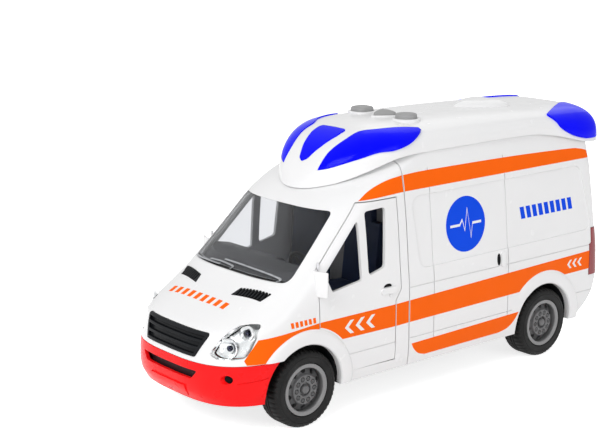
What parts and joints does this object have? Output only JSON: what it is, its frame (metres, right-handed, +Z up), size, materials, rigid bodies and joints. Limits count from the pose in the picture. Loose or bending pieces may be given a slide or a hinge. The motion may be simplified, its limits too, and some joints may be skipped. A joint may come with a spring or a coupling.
{
  "type": "toy ambulance",
  "caption": "Toy panel-van ambulance with rolling wheels, hinged cab and rear doors, roof push buttons, blue beacon lenses and a friction flywheel motor.",
  "frame": {"origin": "on the ground under the middle of the overall box", "axes": "+X forward, +Y to the left side, +Z up"},
  "size_m": [0.2725, 0.1056, 0.1422],
  "materials": {
    "white_plastic": "glossy white moulding",
    "red_plastic": "glossy red moulding",
    "black_plastic": "satin black moulding",
    "dark_plastic": "matt dark moulding",
    "clear_plastic": "clear moulding",
    "bright_plating": "vacuum plated",
    "blue_lens": "tinted clear moulding",
    "red_lens": "tinted clear moulding",
    "grey_rubber": "matt grey",
    "steel": "bright steel",
    "gear_plastic": "natural moulding",
    "board": "coated laminate",
    "lamp": "clear resin",
    "wire": "insulated wire",
    "tyre": "moulded rubber",
    "rim": "dark satin moulding"
  },
  "bodies": {
    "body": {"cab_shell": "white_plastic", "box_shell": "white_plastic", "roof_cap": "white_plastic", "chassis": "black_plastic", "bay_floor": "dark_plastic", "front_bumper": "red_plastic", "bumper_mesh": "black_plastic", "radiator_grille": "black_plastic", "headlamp_lens_left": "clear_plastic", "headlamp_lens_right": "clear_plastic", "headlamp_bowl_left": "bright_plating", "headlamp_bowl_right": "bright_plating", "bonnet_vent_left": "black_plastic", "bonnet_vent_right": "black_plastic", "windscreen": "clear_plastic", "cab_interior": "dark_plastic", "steering_wheel": "black_plastic", "beacon_front_left": "blue_lens", "beacon_front_centre": "blue_lens", "beacon_front_right": "blue_lens", "beacon_rear_left": "blue_lens", "beacon_rear_right": "blue_lens", "tail_lamp_left": "red_lens", "tail_lamp_right": "red_lens", "mirror_left": "white_plastic", "mirror_right": "white_plastic", "switch_board": "board", "lamps": "lamp", "wire_loom": "wire", "speaker": "dark_plastic", "battery_door": "black_plastic", "battery_screw": "steel", "button_cells": "steel", "contact_strips": "steel", "chassis_screws": "steel", "motor_housing": "dark_plastic"},
    "front_wheels": {"front_axle": "steel", "tyre_front_left": "tyre", "tyre_front_right": "tyre", "rim_front_left": "rim", "rim_front_right": "rim"},
    "rear_wheels": {"rear_axle": "steel", "drive_gear": "gear_plastic", "tyre_rear_left": "tyre", "tyre_rear_right": "tyre", "rim_rear_left": "rim", "rim_rear_right": "rim"},
    "idler": {"idler_gear": "gear_plastic"},
    "fly": {"flywheel": "steel"},
    "left_cab_door": {"cab_door_left": "white_plastic", "cab_hinge_pin_left": "steel"},
    "right_cab_door": {"cab_door_right": "white_plastic", "cab_hinge_pin_right": "steel"},
    "left_rear_door": {"rear_door_left": "white_plastic", "rear_hinge_pin_left": "steel"},
    "right_rear_door": {"rear_door_right": "white_plastic", "rear_hinge_pin_right": "steel"},
    "left_button": {"button_left": "grey_rubber"},
    "centre_button": {"button_centre": "grey_rubber"},
    "right_button": {"button_right": "grey_rubber"}
  },
  "joints": [
    {"name": "front_axle_spin", "type": "hinge", "parent": "body", "child": "front_wheels", "pos_m": [0.086, 0, 0.0193], "axis": [0, 1, 0], "continuous": true},
    {"name": "rear_axle_spin", "type": "hinge", "parent": "body", "child": "rear_wheels", "pos_m": [-0.086, 0, 0.0193], "axis": [0, 1, 0], "continuous": true},
    {"name": "idler_spin", "type": "hinge", "parent": "body", "child": "idler", "pos_m": [-0.07769, 0, 0.0241], "axis": [0, 1, 0], "continuous": true},
    {"name": "flywheel_spin", "type": "hinge", "parent": "body", "child": "fly", "pos_m": [-0.06871, 0, 0.02828], "axis": [0, 1, 0], "continuous": true},
    {"name": "cab_door_left_hinge", "type": "hinge", "parent": "body", "child": "left_cab_door", "pos_m": [0.0769, 0.0451, 0.0462], "axis": [0, 0.0623, -0.9981], "range_deg": [0, 65]},
    {"name": "cab_door_right_hinge", "type": "hinge", "parent": "body", "child": "right_cab_door", "pos_m": [0.0769, -0.0451, 0.0462], "axis": [0, 0.0623, 0.9981], "range_deg": [0, 65]},
    {"name": "rear_door_left_hinge", "type": "hinge", "parent": "body", "child": "left_rear_door", "pos_m": [-0.13256, 0.0371, 0.0385], "axis": [-0.0617, 0.0498, -0.9969], "range_deg": [0, 90]},
    {"name": "rear_door_right_hinge", "type": "hinge", "parent": "body", "child": "right_rear_door", "pos_m": [-0.13256, -0.0371, 0.0385], "axis": [0.0617, 0.0498, 0.9969], "range_deg": [0, 90]},
    {"name": "button_left_press", "type": "slide", "parent": "body", "child": "left_button", "axis": [0, 0, -1], "range_m": [0, 0.0015], "stiffness_N_per_m": 300},
    {"name": "button_centre_press", "type": "slide", "parent": "body", "child": "centre_button", "axis": [0, 0, -1], "range_m": [0, 0.0015], "stiffness_N_per_m": 300},
    {"name": "button_right_press", "type": "slide", "parent": "body", "child": "right_button", "axis": [0, 0, -1], "range_m": [0, 0.0015], "stiffness_N_per_m": 300}
  ],
  "couplings": [
    {"joint": "idler_spin", "follows": "rear_axle_spin", "ratio": -1.6667},
    {"joint": "flywheel_spin", "follows": "rear_axle_spin", "ratio": 3.8333}
  ]
}
